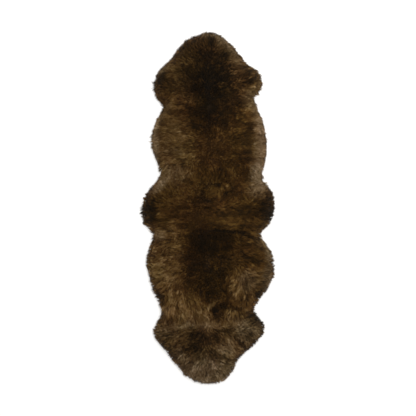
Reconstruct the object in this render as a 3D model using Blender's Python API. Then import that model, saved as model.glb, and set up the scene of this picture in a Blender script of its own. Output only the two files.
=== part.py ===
"""Double sheepskin rug: two long-wool pelts sewn rump to rump, lying flat with the wool up.

X runs across the rug and Y along it, from the lower pelt's neck to the upper pelt's neck.
Z is up. The origin is on the floor under the middle of the seam, and units are metres.
"""

import math
import random

import bmesh
import bpy
import numpy as np
from mathutils import Vector, noise

MM = 0.001

# How far apart the seam holds the two pelts
SEAM_GAP = 0.3 * MM

# The fleece seen from the side
PILE_HEIGHT = 51 * MM
RIM_TOP_HEIGHT = 24 * MM
RIM_HEIGHT = 13 * MM
ROUNDING = 85 * MM
ROUNDING_POWER = 2.4
LUMP_HEIGHT = 9 * MM
LUMP_PITCH = 82 * MM
SMALL_LUMP_HEIGHT = 4.5 * MM
SMALL_LUMP_PITCH = 46 * MM
LUMP_FADE_POWER = 0.5
DEEPEST_DIP = 25 * MM

# Insets from the wool's full reach of the four rings round a slab, from its foot up to its crown
FOOT_INSET = 24 * MM
SLAB_INSET = 9 * MM
SHOULDER_INSET = 14 * MM
CROWN_INSET = 25 * MM
RING_INSETS = (FOOT_INSET, SLAB_INSET, SHOULDER_INSET, CROWN_INSET)
EDGE = 1
CROWN = 3

# Locks of wool round the rim, which droop until their tips rest on the floor
LOCK_LENGTH = (10 * MM, 20 * MM)
LOCK_LEAST_SHARE = 0.6
LOCK_SHORTENING = 0.85
LOCK_CLEARANCE = 0.9
LOCK_SEAM_GAP = 7 * MM
LOCK_WAIST_AT = 0.55
LOCK_WAIST_WIDTH = 0.6
LOCK_ARCH = 0.12
LOCK_SWAY = 0.32
LOCK_TIP_GAP = 9 * MM
LOCK_SEEDS = {"upper_pelt": 11, "lower_pelt": 12}

# How finely the shape is stepped: sections along each pelt, columns across each section, steps
# between two places of the outline, and neighbours that smooth a section's inward direction
SECTIONS = 74
COLUMNS = 24
CURVE_STEPS = 8
NORMAL_WINDOW = 3

WOOL_COLOUR = (0.085, 0.052, 0.026, 1.0)
WOOL_ROUGHNESS = 0.95

# Where the wool reaches at each named place round a pelt, on its left and right edge, in
# millimetres from the middle of the rug: place, left x, left y, right x, right y.
UPPER_EDGE = (
    ("neck", -48, 883, 46, 889),
    ("muzzle", -99, 861, 101, 852),
    ("cheek", -146, 821, 147, 799),
    ("jaw", -186, 764, 183, 752),
    ("shoulder", -222, 731, 213, 725),
    ("foreleg front", -256, 692, 250, 702),
    ("foreleg", -275, 624, 276, 646),
    ("foreleg back", -262, 562, 263, 598),
    ("foreleg heel", -240, 541, 244, 580),
    ("foreleg notch", -220, 528, 230, 568),
    ("rib", -241, 486, 247, 520),
    ("chest", -272, 425, 284, 425),
    ("belly", -289, 330, 299, 314),
    ("flank", -267, 254, 290, 230),
    ("waist", -245, 188, 275, 160),
    ("thigh", -256, 143, 286, 122),
    ("rump corner", -302, 90, 321, 91),
    ("rump", -331, 26, 338, 30),
)
LOWER_EDGE = (
    ("rump", -334, -36, 333, -31),
    ("rump corner", -316, -88, 308, -86),
    ("hock", -289, -116, 276, -114),
    ("hock notch", -279, -146, 267, -143),
    ("flank", -298, -200, 301, -194),
    ("belly back", -311, -246, 328, -245),
    ("belly", -314, -288, 337, -318),
    ("belly front", -298, -355, 330, -352),
    ("chest", -282, -412, 305, -408),
    ("rib", -258, -468, 262, -465),
    ("waist", -240, -520, 234, -510),
    ("foreleg notch", -240, -556, 229, -534),
    ("foreleg heel", -261, -587, 254, -556),
    ("foreleg", -279, -636, 290, -615),
    ("foreleg front", -258, -684, 266, -664),
    ("shoulder", -217, -727, 220, -715),
    ("jaw", -187, -771, 168, -757),
    ("cheek", -152, -812, 139, -806),
    ("muzzle", -112, -858, 108, -857),
    ("neck", -64, -887, 62, -891),
)
UPPER_NECK_TIP = (-2, 898)
LOWER_NECK_TIP = (0, -898)

# Partings and hollows in the fleece, in millimetres and degrees: what it is, its middle's x
# and y, half its length and half its width, the turn of its length from X, and its depth.
HOLLOWS = (
    ("seam parting", 0, 0, 420, 15, 0, 7),
    ("brushed band's lower edge", 66, -108, 160, 17, -2, 9),
    ("step behind the forelegs", -130, 560, 120, 20, 8, 8),
    ("dark middle of the neck", 10, 640, 70, 130, 0, 5),
    ("dark middle of the lower pelt", 0, -250, 90, 150, 0, 6),
    ("pit in the long wool", 46, -533, 32, 26, -20, 15),
    ("left shadow line", -243, -452, 52, 15, -66, 9),
    ("right shadow line", 246, -428, 48, 15, 58, 9),
    ("tufts above the seam", -22, 52, 80, 26, 8, 8),
    ("hollow of the left rump", -262, 52, 60, 26, 12, 7),
    ("hollow of the left chest", -222, 425, 26, 40, 30, 7),
    ("hollow of the right chest", 205, 410, 26, 30, 0, 7),
    ("hollow of the right flank", 178, 262, 55, 32, 40, 6),
    ("dark middle of the lower neck", -55, -705, 62, 55, -10, 6),
    ("notch of the left foreleg", -215, 500, 40, 26, 20, 5),
    ("notch of the right foreleg", 222, -552, 40, 22, -10, 6),
)


def start_clean():
    """Removes whatever the scene holds."""
    for found in list(bpy.data.objects):
        bpy.data.objects.remove(found)


def curve_through(points, steps):
    """A closed smooth curve through plan points, as a list of points."""
    traced = []
    count = len(points)
    for i in range(count):
        before, here, there, after = (Vector(points[(i + k) % count]) for k in (-1, 0, 1, 2))
        for step in range(steps):
            t = step / steps
            traced.append(
                0.5
                * (
                    2 * here
                    + (there - before) * t
                    + (2 * before - 5 * here + 4 * there - after) * t**2
                    + (3 * here - before - 3 * there + after) * t**3
                )
            )
    return traced


def trace_outline():
    """The wool's full reach as a closed curve, and its left and right runs from neck tip to neck tip."""
    left = [(row[1], row[2]) for row in UPPER_EDGE + LOWER_EDGE]
    right = [(row[3], row[4]) for row in UPPER_EDGE + LOWER_EDGE]
    corners = [UPPER_NECK_TIP, *left, LOWER_NECK_TIP, *reversed(right)]
    curve = curve_through([(x * MM, y * MM) for x, y in corners], CURVE_STEPS)
    lower_tip = (len(left) + 1) * CURVE_STEPS
    left_run = curve[: lower_tip + 1]
    right_run = [curve[0]] + curve[: lower_tip - 1 : -1]
    return curve, left_run, right_run


def side_of_pelt(run, seam_y):
    """Even steps along one side of a pelt, from its neck tip to the seam at seam_y."""
    kept = [run[0]]
    for here, there in zip(run, run[1:]):
        if (there.y - seam_y) * (here.y - seam_y) <= 0:
            kept.append(here.lerp(there, (seam_y - here.y) / (there.y - here.y)))
            break
        kept.append(there)
    along = np.cumsum([0] + [(b - a).length for a, b in zip(kept, kept[1:])])
    wanted = np.linspace(0, along[-1], SECTIONS + 1)
    xs = np.interp(wanted, along, [p.x for p in kept])
    ys = np.interp(wanted, along, [p.y for p in kept])
    return [Vector((x, y)) for x, y in zip(xs, ys)]


def inward_directions(side, turn):
    """For each step along a side, the level direction into the fleece, smoothed over its neighbours.

    turn is 1 where the fleece lies to the left of the walk from neck to seam, and -1 where
    it lies to the right. The last step runs along the seam.
    """
    last = len(side) - 1
    plain = []
    for i in range(last + 1):
        run = side[min(i + 1, last)] - side[max(i - 1, 0)]
        plain.append(Vector((-run.y, run.x)).normalized() * turn)
    smoothed = []
    for i in range(last + 1):
        near = plain[max(0, i - NORMAL_WINDOW) : i + NORMAL_WINDOW + 1]
        smoothed.append(sum(near, Vector((0, 0))).normalized())
    smoothed[-1] = Vector((math.copysign(1, smoothed[-1].x), 0))
    return smoothed


def distance_to(curve, places):
    """How far each plan point lies from a closed curve."""
    a = np.array([(p.x, p.y) for p in curve])
    b = np.roll(a, -1, axis=0)
    run = b - a
    length = (run**2).sum(axis=1)
    found = []
    for x, y in places:
        offset = np.array((x, y)) - a
        t = np.clip((offset * run).sum(axis=1) / length, 0, 1)
        found.append(np.sqrt(((offset - run * t[:, None]) ** 2).sum(axis=1)).min())
    return found


def hollow_depth(x, y):
    """How far the partings and hollows press the fleece down at a plan point."""
    depth = 0.0
    for _, middle_x, middle_y, half_length, half_width, turn, deepest in HOLLOWS:
        angle = math.radians(turn)
        dx, dy = x - middle_x * MM, y - middle_y * MM
        along = (dx * math.cos(angle) + dy * math.sin(angle)) / (half_length * MM)
        across = (dy * math.cos(angle) - dx * math.sin(angle)) / (half_width * MM)
        depth += deepest * MM * math.exp(-(along**4) - across**2)
    return depth


def fleece_height(x, y, inset):
    """The top of the lumpy fleece over a plan point that lies inset from the wool's full reach."""
    share = min(1.0, max(0.0, (inset - SLAB_INSET) / ROUNDING))
    rise = math.sqrt(1 - (1 - share) ** ROUNDING_POWER)
    lumps = LUMP_HEIGHT * noise.noise(Vector((x, y, 0)) / LUMP_PITCH)
    lumps += SMALL_LUMP_HEIGHT * noise.noise(Vector((x, y, 1)) / SMALL_LUMP_PITCH)
    lumps -= min(hollow_depth(x, y), DEEPEST_DIP)
    return RIM_TOP_HEIGHT + (PILE_HEIGHT - RIM_TOP_HEIGHT) * rise + lumps * share**LUMP_FADE_POWER


def column_shares():
    """Where the columns stand across a section, a little closer together towards its two ends."""
    shares = []
    for k in range(COLUMNS + 1):
        even = k / COLUMNS
        crowded_to_ends = 0.5 - 0.5 * math.cos(math.pi * even)
        shares.append((even + crowded_to_ends) / 2)
    return shares


def ring_places(place, way):
    """The plan points of the four rings at one step of a side."""
    return [place + way * inset for inset in RING_INSETS]


def sections_of(first, second):
    """The plan points of each section of a pelt, from its neck's tip to the seam.

    The tip is a single column of ring points. Every other section runs in from its foot on
    the first side, across its crown, and out to its foot on the second side.
    """
    first_ways = inward_directions(first, 1)
    second_ways = inward_directions(second, -1)
    sections = [ring_places(first[0], (first_ways[0] + second_ways[0]).normalized())]
    for k in range(1, SECTIONS + 1):
        first_end = ring_places(first[k], first_ways[k])
        second_end = ring_places(second[k], second_ways[k])
        crown = [first_end[CROWN].lerp(second_end[CROWN], share) for share in column_shares()]
        sections.append(first_end[:CROWN] + crown + second_end[CROWN - 1 :: -1])
    return sections


def loft_pelt(first, second, curve):
    """The slab of one pelt and its rim's outward faces, lofted from the neck to the seam."""
    bm = bmesh.new()
    rows = []
    for section in sections_of(first, second):
        insets = distance_to(curve, section)
        heights = [fleece_height(p.x, p.y, inset) for p, inset in zip(section, insets)]
        heights[: EDGE + 1] = (0.0, RIM_HEIGHT)
        if rows:
            heights[-EDGE - 1 :] = (RIM_HEIGHT, 0.0)
        rows.append([bm.verts.new((p.x, p.y, z)) for p, z in zip(section, heights)])
    rim = skin_sections(bm, rows)
    bmesh.ops.recalc_face_normals(bm, faces=bm.faces)
    return bm, rim


def skin_sections(bm, rows):
    """Joins the sections with faces, closes the seam's end, and returns the rim's outward faces."""
    tip = rows[0]
    first = rows[1]
    rim = []
    for i in range(CROWN):
        bm.faces.new((tip[i], tip[i + 1], first[i + 1], first[i]))
        bm.faces.new((tip[i], first[-1 - i], first[-2 - i], tip[i + 1]))
    for i in range(CROWN, CROWN + COLUMNS):
        bm.faces.new((tip[CROWN], first[i + 1], first[i]))
    bm.faces.new((tip[0], first[0], first[-1]))
    for near, far in zip(rows[1:], rows[2:]):
        for i in range(len(near) - 1):
            face = bm.faces.new((near[i], near[i + 1], far[i + 1], far[i]))
            if i in (EDGE, len(near) - 2 - EDGE):
                rim.append(face)
        bm.faces.new((near[0], far[0], far[-1], near[-1]))
    bm.faces.new(rows[-1])
    return rim


def grow_locks(bm, rim, curve, chance):
    """Pulls the rim's faces out into tapering four-sided locks, bent down to the floor.

    A lock that would cross another, or reach over a notch, is shortened or left out.
    """
    tips = []
    for face in rim:
        root = face.calc_center_median()
        out = Vector((face.normal.x, face.normal.y, 0)).normalized()
        sway = Vector((-out.y, out.x, 0)) * chance.uniform(-LOCK_SWAY, LOCK_SWAY)
        way = (out + sway).normalized()
        length = chance.uniform(*LOCK_LENGTH)
        reach = length
        while crowded(root, root + way * reach, curve, tips) and reach > LOCK_LEAST_SHARE * length:
            reach *= LOCK_SHORTENING
        tip = root + way * reach
        if crowded(root, tip, curve, tips):
            continue
        tips.append(tip.to_2d())
        tip.z = 0.0
        waist = root.lerp(tip, LOCK_WAIST_AT)
        waist.z += LOCK_ARCH * reach
        grown = bmesh.ops.extrude_discrete_faces(bm, faces=[face])["faces"][0]
        for vert in grown.verts:
            vert.co = waist + (vert.co - root) * LOCK_WAIST_WIDTH
        bmesh.ops.poke(bm, faces=[grown])["verts"][0].co = tip


def crowded(root, tip, curve, tips):
    """Whether a lock's tip comes near another lock's, the other pelt or the far side of a notch."""
    if min(abs(tip.y), abs(root.y)) < LOCK_SEAM_GAP:
        return True
    if any((tip.to_2d() - other).length < LOCK_TIP_GAP for other in tips):
        return True
    root_inset, tip_off = distance_to(curve, [root.to_2d(), tip.to_2d()])
    return tip_off < LOCK_CLEARANCE * ((tip - root).to_2d().length - root_inset)


def wool_material():
    """Undyed dark brown wool."""
    made = bpy.data.materials.new("brown_wool")
    made.use_nodes = True
    shader = made.node_tree.nodes["Principled BSDF"]
    shader.inputs["Base Color"].default_value = WOOL_COLOUR
    shader.inputs["Roughness"].default_value = WOOL_ROUGHNESS
    shader.inputs["Metallic"].default_value = 0.0
    return made


def add_pelt(name, bm, material, collection):
    """One pelt as a named object."""
    mesh = bpy.data.meshes.new(name)
    bmesh.ops.triangulate(bm, faces=[f for f in bm.faces if len(f.verts) > 3])
    bm.to_mesh(mesh)
    bm.free()
    mesh.shade_smooth()
    mesh.materials.append(material)
    pelt = bpy.data.objects.new(name, mesh)
    collection.objects.link(pelt)
    return pelt


def main():
    """Builds both pelts of the rug."""
    start_clean()
    rug = bpy.data.collections.new("sheepskin_rug")
    bpy.context.scene.collection.children.link(rug)
    material = wool_material()
    curve, left_run, right_run = trace_outline()
    upper_sides = [side_of_pelt(run, SEAM_GAP / 2) for run in (left_run, right_run)]
    lower_sides = [side_of_pelt(run[::-1], -SEAM_GAP / 2) for run in (right_run, left_run)]
    for name, sides in (("upper_pelt", upper_sides), ("lower_pelt", lower_sides)):
        bm, rim = loft_pelt(*sides, curve)
        grow_locks(bm, rim, curve, random.Random(LOCK_SEEDS[name]))
        add_pelt(name, bm, material, rug)


main()
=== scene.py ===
"""Looks of a double sheepskin rug: two long-wool pelts sewn rump to rump, wool up, on a studio floor.

Each pelt is a tanned hide, a dense underwool that grows from it, and staples of long wool
that stand on its middle and lie outwards over its flanks. Units are metres, Z is up, and Y
runs along the rug from the lower pelt's neck to the upper pelt's neck.
"""

import logging
import math
from dataclasses import dataclass, field
from enum import Enum

import bmesh
import bpy
import numpy as np
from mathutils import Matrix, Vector, geometry, noise
from mathutils.bvhtree import BVHTree


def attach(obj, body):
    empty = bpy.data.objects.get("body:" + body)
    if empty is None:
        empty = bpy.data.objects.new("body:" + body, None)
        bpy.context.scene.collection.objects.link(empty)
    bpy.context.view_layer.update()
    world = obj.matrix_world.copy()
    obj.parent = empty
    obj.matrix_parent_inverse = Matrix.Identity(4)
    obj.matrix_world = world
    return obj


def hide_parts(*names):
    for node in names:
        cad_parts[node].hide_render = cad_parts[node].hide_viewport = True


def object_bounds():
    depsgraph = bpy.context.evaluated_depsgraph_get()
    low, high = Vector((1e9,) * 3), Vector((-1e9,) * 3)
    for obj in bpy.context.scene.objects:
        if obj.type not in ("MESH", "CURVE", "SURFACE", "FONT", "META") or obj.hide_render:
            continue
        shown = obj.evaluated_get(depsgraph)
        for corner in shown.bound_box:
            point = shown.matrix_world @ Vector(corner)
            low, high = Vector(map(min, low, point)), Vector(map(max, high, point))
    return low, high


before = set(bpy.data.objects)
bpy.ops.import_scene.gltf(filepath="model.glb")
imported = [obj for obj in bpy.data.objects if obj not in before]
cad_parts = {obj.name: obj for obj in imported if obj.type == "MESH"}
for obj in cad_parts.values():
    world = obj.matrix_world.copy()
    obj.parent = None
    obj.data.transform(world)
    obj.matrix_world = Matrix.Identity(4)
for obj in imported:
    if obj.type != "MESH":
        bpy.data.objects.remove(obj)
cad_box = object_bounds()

MM = 0.001
BODY = "root"
LOG = logging.getLogger("sheepskin_rug")

# The wool's tone runs from 0, nearly black, to 1, the palest tips; patches lighten or darken it,
# partly for the wool's own colour and partly as painted light and shade.
BASE_TONE = 0.445
TONE_GAIN = 0.36
# The seam shows from above as a faint furrow, a little off the seam because the wool leans over it.
# The wool along it is darkened there as painted shade in the furrow.
SEAM_FURROW = 5 * MM
# Corners of a solid as near the floor as this belong to its flat underside.
ON_FLOOR = 0.01 * MM
# Plan points that agree to this many decimals of a metre are the same corner.
CORNER_DECIMALS = 6
# The smallest length that is still divided by.
TINY = 1e-6

Colour = tuple[float, float, float, float]
Places = np.ndarray


class Pelt(Enum):
    """The two pelts, by the node of the frame that each stands for."""

    UPPER = "upper_pelt"
    LOWER = "lower_pelt"

    @property
    def towards_neck(self) -> int:
        """The sign of Y on this pelt's side of the seam."""
        return 1 if self is Pelt.UPPER else -1


def linear(hex_colour: str) -> Colour:
    """Turns an sRGB colour into the linear one that a shader takes.

    Args:
        hex_colour: Six hex digits, such as "3e2b16".

    Returns:
        Red, green, blue and an alpha of 1.
    """
    channels = [int(hex_colour[i : i + 2], 16) / 255 for i in (0, 2, 4)]
    red, green, blue = (c / 12.92 if c <= 0.04045 else ((c + 0.055) / 1.055) ** 2.4 for c in channels)
    return red, green, blue, 1.0


def add_node(
    tree: bpy.types.NodeTree, kind: str, links: dict[str, object] | None = None, **settings: object
) -> bpy.types.Node:
    """Adds a node with its settings and links.

    Args:
        tree: The node tree that takes it.
        kind: The node's type, such as "ShaderNodeTexNoise".
        links: For each input's name or number, the socket that feeds it, or its value.
        settings: The node's own properties.

    Returns:
        The new node.
    """
    node = tree.nodes.new(kind)
    for name, value in settings.items():
        setattr(node, name, value)
    for name, value in (links or {}).items():
        entry = node.inputs[name]
        if isinstance(value, bpy.types.NodeSocket):
            tree.links.new(value, entry)
        else:
            entry.default_value = value
    return node


def fill_ramp(ramp: bpy.types.Node, stops: tuple[tuple[float, str], ...]) -> None:
    """Sets the stops of a colour ramp.

    Args:
        ramp: A colour ramp node.
        stops: A place from 0 to 1 and a hex colour for each stop, in order.
    """
    elements = ramp.color_ramp.elements
    while len(elements) < len(stops):
        elements.new(1.0)
    for element, (place, colour) in zip(elements, stops):
        element.position = place
        element.color = linear(colour)


@dataclass(frozen=True)
class Finish:
    """A surface, named for its real material and how it was made."""

    name: str
    roughness: float
    specular: float = 0.5

    def look(self, tree: bpy.types.NodeTree, places: bpy.types.NodeSocket) -> dict[str, object]:
        """Adds the finish's own nodes.

        Args:
            tree: The material's node tree.
            places: Each point's place, in metres.

        Returns:
            For each of the shader's inputs, the socket that feeds it, or its value.
        """
        raise NotImplementedError

    def material(self) -> bpy.types.Material:
        """Makes the finish's material.

        Returns:
            The material.
        """
        material = bpy.data.materials.new(self.name)
        material.use_nodes = True
        tree = material.node_tree
        tree.nodes.clear()
        places = add_node(tree, "ShaderNodeTexCoord").outputs["Object"]
        look = {"Roughness": self.roughness, "Specular IOR Level": self.specular, **self.look(tree, places)}
        shader = add_node(tree, "ShaderNodeBsdfPrincipled", look).outputs["BSDF"]
        add_node(tree, "ShaderNodeOutputMaterial", {"Surface": shader})
        return material


@dataclass(frozen=True)
class Wool(Finish):
    """Undyed dark brown sheep's wool, warm where it stands and greyer where it lies.

    The colour comes from the tone and greyness stored on the mesh, and drifts a little in hue
    across the rug, as a living fleece does. The greyness is partly the wool's own colour and partly
    a painted sheen, where flat-lying wool catches the light.
    """

    warm: tuple[tuple[float, str], ...] = (
        (0.0, "1a1002"),
        (0.25, "3b2506"),
        (0.5, "64431a"),
        (0.75, "8e6a34"),
        (1.0, "bc9760"),
    )
    grey: tuple[tuple[float, str], ...] = (
        (0.0, "1a1208"),
        (0.25, "3c2b13"),
        (0.5, "6b5334"),
        (0.75, "957b58"),
        (1.0, "c2a784"),
    )
    hue_drift: float = 0.005
    drift_pitch: float = 110 * MM
    keratin_ior: float = 1.54

    def shaded(
        self, tree: bpy.types.NodeTree, places: bpy.types.NodeSocket, shade: bpy.types.NodeSocket
    ) -> bpy.types.NodeSocket:
        """The wool's own colour under a shade from 0 to 1.

        Args:
            tree: The material's node tree.
            places: Each point's place, in metres.
            shade: How much of the colour is left.

        Returns:
            The colour's socket.
        """
        tone = add_node(tree, "ShaderNodeAttribute", attribute_name="tone").outputs["Fac"]
        grey = add_node(tree, "ShaderNodeAttribute", attribute_name="grey").outputs["Fac"]
        ramps = []
        for stops in (self.warm, self.grey):
            ramp = add_node(tree, "ShaderNodeValToRGB", {"Fac": tone})
            fill_ramp(ramp, stops)
            ramps.append(ramp.outputs["Color"])
        blend = {"Factor": grey, 6: ramps[0], 7: ramps[1]}
        mixed = add_node(tree, "ShaderNodeMix", blend, data_type="RGBA")
        drift = add_node(tree, "ShaderNodeTexNoise", {"Vector": places, "Scale": 1 / self.drift_pitch})
        spread = {"Value": drift.outputs["Fac"], "From Min": 0.35, "From Max": 0.65}
        spread |= {"To Min": 0.5 - self.hue_drift, "To Max": 0.5 + self.hue_drift}
        hue = add_node(tree, "ShaderNodeMapRange", spread).outputs["Result"]
        turned_hue = add_node(tree, "ShaderNodeHueSaturation", {"Hue": hue, "Color": mixed.outputs[2]})
        scaled = {0: turned_hue.outputs["Color"], "Scale": shade}
        return add_node(tree, "ShaderNodeVectorMath", scaled, operation="SCALE").outputs[0]


@dataclass(frozen=True)
class BrushedWool(Wool):
    """The staples: washed, brushed long wool, nearly matte, with a faint sheen along the fibres.

    The tips are lighter than the roots, partly as sun-bleached tips and partly as painted shade
    deep in the pile, which gives the pile its depth.
    """

    name: str = "brushed_brown_wool"
    roughness: float = 0.62
    specular: float = 0.12
    root_share: float = 0.25
    sheen: float = 0.04
    fibre_pitch: float = 2.2 * MM
    fibre_variation: float = 0.22

    def look(self, tree: bpy.types.NodeTree, places: bpy.types.NodeSocket) -> dict[str, object]:
        """The staples' colour, darker at their roots.

        Args:
            tree: The material's node tree.
            places: Each point's place, in metres.

        Returns:
            What feeds the shader's inputs, by their names.
        """
        along = add_node(tree, "ShaderNodeAttribute", attribute_name="along").outputs["Fac"]
        grain = {"Vector": places, "Scale": 1 / self.fibre_pitch, "Detail": 2.0}
        fibres = add_node(tree, "ShaderNodeTexNoise", grain).outputs["Fac"]
        spread = {"Value": fibres, "From Min": 0.3, "From Max": 0.7}
        spread |= {"To Min": 1 - self.fibre_variation, "To Max": 1 + self.fibre_variation}
        uneven = add_node(tree, "ShaderNodeMapRange", spread).outputs["Result"]
        # Painted shade deep in the pile: each strand darkens towards its root, down to root_share of its
        # colour.
        depth = add_node(tree, "ShaderNodeMapRange", {"Value": along, "To Min": self.root_share})
        product = {0: depth.outputs["Result"], 1: uneven}
        shade = add_node(tree, "ShaderNodeMath", product, operation="MULTIPLY").outputs[0]
        return {
            "Base Color": self.shaded(tree, places, shade),
            "IOR": self.keratin_ior,
            "Sheen Weight": self.sheen,
            "Sheen Tint": linear("b88c4c"),
        }


@dataclass(frozen=True)
class DenseUnderwool(Wool):
    """The short, crimped wool close to the hide, in the shade of the staples: a dark felted ground."""

    name: str = "dense_underwool"
    roughness: float = 0.85
    specular: float = 0.15
    crimp_pitch: float = 3.5 * MM
    # The range of the painted shade over the crimp, from its hollows to its tops.
    crimp: tuple[float, float] = (0.05, 0.72)

    def look(self, tree: bpy.types.NodeTree, places: bpy.types.NodeSocket) -> dict[str, object]:
        """The underwool's colour, broken up by its crimp.

        Args:
            tree: The material's node tree.
            places: Each point's place, in metres.

        Returns:
            What feeds the shader's inputs, by their names.
        """
        grain = {"Vector": places, "Scale": 1 / self.crimp_pitch}
        grain |= {"Detail": 4.0, "Roughness": 0.7, "Distortion": 1.2}
        crimp = add_node(tree, "ShaderNodeTexNoise", grain).outputs["Fac"]
        low, high = self.crimp
        spread = {"Value": crimp, "From Min": 0.4, "From Max": 0.6, "To Min": low, "To Max": high}
        # Painted shade: the crimp's hollows, where the bump sits lowest, darken to a twentieth of the colour,
        # and the ground stays at most 0.72 of it, for the shade under the staples.
        shade = add_node(tree, "ShaderNodeMapRange", spread).outputs["Result"]
        relief = {"Height": crimp, "Distance": 1.5 * MM, "Strength": 0.8}
        bump = add_node(tree, "ShaderNodeBump", relief).outputs[0]
        return {"Base Color": self.shaded(tree, places, shade), "Normal": bump, "IOR": self.keratin_ior}


@dataclass(frozen=True)
class BuffedSuede(Finish):
    """The tanned hide's flesh side, buffed to a pale suede: soft, mottled and quite matte."""

    name: str = "buffed_suede"
    roughness: float = 0.92
    light: str = "d3bd9c"
    dark: str = "a98c66"
    mottle_pitch: float = 45 * MM
    nap_pitch: float = 1.6 * MM

    def look(self, tree: bpy.types.NodeTree, places: bpy.types.NodeSocket) -> dict[str, object]:
        """A broad mottle and a fine nap.

        Args:
            tree: The material's node tree.
            places: Each point's place, in metres.

        Returns:
            What feeds the shader's inputs, by their names.
        """
        grains = []
        for pitch, detail in ((self.mottle_pitch, 5.0), (self.nap_pitch, 2.0)):
            grain = {"Vector": places, "Scale": 1 / pitch, "Detail": detail}
            grains.append(add_node(tree, "ShaderNodeTexNoise", grain).outputs["Fac"])
        mottle, nap = grains
        parts = {0: nap, 1: 0.35, 2: mottle}
        blend = add_node(tree, "ShaderNodeMath", parts, operation="MULTIPLY_ADD").outputs[0]
        ramp = add_node(tree, "ShaderNodeValToRGB", {"Fac": blend})
        fill_ramp(ramp, ((0.5, self.dark), (0.85, self.light)))
        relief = {"Height": nap, "Distance": 0.4 * MM, "Strength": 0.6}
        bump = add_node(tree, "ShaderNodeBump", relief).outputs[0]
        return {"Base Color": ramp.outputs["Color"], "Normal": bump, "Sheen Weight": 0.2}


@dataclass(frozen=True)
class WaxedThread(Finish):
    """Twisted linen thread, waxed for the furrier's machine: a dull straw colour with a soft shine."""

    name: str = "waxed_linen_thread"
    roughness: float = 0.5
    light: str = "8f7a58"
    dark: str = "6f5d41"
    twist_pitch: float = 0.8 * MM

    def look(self, tree: bpy.types.NodeTree, places: bpy.types.NodeSocket) -> dict[str, object]:
        """The thread's twist.

        Args:
            tree: The material's node tree.
            places: Each point's place, in metres.

        Returns:
            What feeds the shader's inputs, by their names.
        """
        grain = {"Vector": places, "Scale": 1 / self.twist_pitch, "Detail": 1.0}
        twist = add_node(tree, "ShaderNodeTexNoise", grain).outputs["Fac"]
        ramp = add_node(tree, "ShaderNodeValToRGB", {"Fac": twist})
        fill_ramp(ramp, ((0.3, self.dark), (0.7, self.light)))
        bump = add_node(tree, "ShaderNodeBump", {"Height": twist, "Distance": 0.1 * MM}).outputs[0]
        return {"Base Color": ramp.outputs["Color"], "Normal": bump}


@dataclass(frozen=True)
class LitAcrylic(Finish):
    """The frosted white acrylic of a light table, faintly lit from below, so that shadows hardly show."""

    name: str = "frosted_white_acrylic"
    roughness: float = 0.95
    specular: float = 0.1
    colour: str = "f7f6f4"
    glow: float = 0.2
    tooth_pitch: float = 3 * MM

    def look(self, tree: bpy.types.NodeTree, places: bpy.types.NodeSocket) -> dict[str, object]:
        """A nearly white sheet with a fine tooth.

        Args:
            tree: The material's node tree.
            places: Each point's place, in metres.

        Returns:
            What feeds the shader's inputs, by their names.
        """
        tooth = add_node(tree, "ShaderNodeTexNoise", {"Vector": places, "Scale": 1 / self.tooth_pitch})
        relief = {"Height": tooth.outputs["Fac"], "Distance": 0.05 * MM, "Strength": 0.2}
        bump = add_node(tree, "ShaderNodeBump", relief).outputs[0]
        white = linear(self.colour)
        return {"Base Color": white, "Emission Color": white, "Emission Strength": self.glow, "Normal": bump}


@dataclass(frozen=True)
class Lie:
    """How the wool lies in one region: which way it was combed, how far it leans and how smooth it is.

    Places and half sizes are in millimetres. The turn, the way and the lean are in degrees;
    a way of 0 points to the right of the rug and 90 to the upper neck, none is straight out to
    the rim, and a lean of 0 is upright. Smooth runs from 0, tousled, to 1, freshly combed.
    Growth is the wool's length as a share of that on the flanks.
    """

    what: str
    x: float
    y: float
    half_length: float
    half_width: float
    turn: float
    way: float | None
    lean: float
    smooth: float = 0.0
    growth: float = 1.0


@dataclass(frozen=True)
class Tone:
    """How light and how grey the wool looks in one region. Sizes are in millimetres, the turn in degrees.

    A squared region has a crisp, nearly straight edge; the others fade out and have ragged edges.
    The lightness and greyness are partly the wool's own colour and partly painted light and shade.
    """

    what: str
    x: float
    y: float
    half_length: float
    half_width: float
    turn: float
    lighter: float
    greyer: float = 0.0
    squared: bool = False


LIES = (
    Lie("nose", 0, 850, 70, 40, 0, 90, 60),
    Lie("cheek combed to the right", 125, 790, 95, 55, -45, 15, 72, 0.5, 0.8),
    Lie("right shoulder", 175, 690, 60, 60, 0, 10, 62),
    Lie("left shoulder", -170, 690, 60, 60, 0, 150, 55),
    Lie("upper left flank", -160, 380, 90, 190, 0, 186, 62),
    Lie("upper right flank", 200, 330, 70, 190, 0, -3, 58, 0.3),
    Lie("upper right rim", 262, 330, 30, 200, 0, -12, 78, 0.7),
    Lie("waist", 0, 190, 260, 40, 0, -95, 30),
    Lie("combed band, left half", -150, -46, 160, 62, 0, 182, 76, 0.9),
    Lie("combed band, right half", 130, -46, 180, 62, 0, -3, 76, 0.9),
    Lie("top of the dark middle", 20, -165, 110, 55, 0, -80, 30, 0.9),
    Lie("lower left flank", -215, -265, 70, 150, 0, 196, 50),
    Lie("lower right flank", 240, -260, 80, 130, 0, -8, 68, 0.6),
    Lie("light staples", 142, -370, 50, 70, 0, -112, 62),
    Lie("below the light staples", 175, -450, 40, 45, 0, -106, 60),
    Lie("long staples, left", -165, -500, 55, 130, 0, -94, 62),
    Lie("long staples, middle", -65, -520, 65, 95, 0, -60, 64),
    Lie("round the pit", 22, -560, 40, 50, 0, -95, 55),
    Lie("tufts on the right", 115, -545, 50, 50, 0, -75, 58),
    Lie("forelegs, lower pelt", 0, -650, 290, 60, 0, None, 50, 0.5, 0.7),
    Lie("lower neck", 0, -785, 220, 125, 0, None, 58, 0.5, 0.58),
)

# Painted light and shade along with the wool's own colour: patches are darker as painted shade where the wool
# stands upright, and lighter as painted highlights where it lies flat.
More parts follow.
